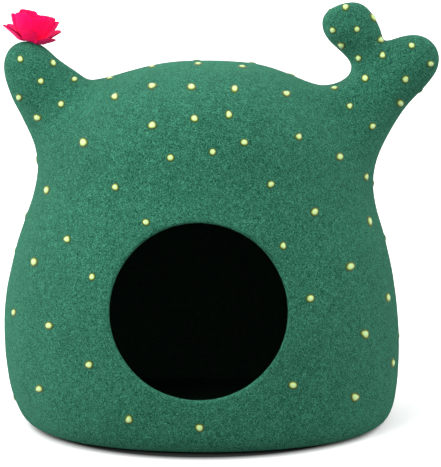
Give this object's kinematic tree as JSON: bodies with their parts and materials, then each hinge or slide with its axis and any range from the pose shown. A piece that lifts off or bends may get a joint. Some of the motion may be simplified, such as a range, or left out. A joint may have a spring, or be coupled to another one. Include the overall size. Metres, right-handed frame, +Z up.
{
  "type": "felt cat cave",
  "caption": "Round felted cat cave shaped like a cactus, with a flat base, a round entrance, two hollow arms and a felt flower on one arm's tip.",
  "frame": {"origin": "middle of the flat base, on the surface it stands on", "axes": "+Z up, -Y out of the entrance, +X towards the forked arm"},
  "size_m": [0.4516, 0.3902, 0.4351],
  "materials": {
    "green_felt": "thick wet-felted wool, matt, with a short fuzz",
    "pink_felt": "thin cut felt sheet, matt",
    "yellow_wool": "needle-felted wool dots on the green felt, matt"
  },
  "bodies": {
    "root": {"cave": "green_felt", "flower_outer": "pink_felt", "flower_middle": "pink_felt", "flower_inner": "pink_felt"}
  },
  "joints": []
}
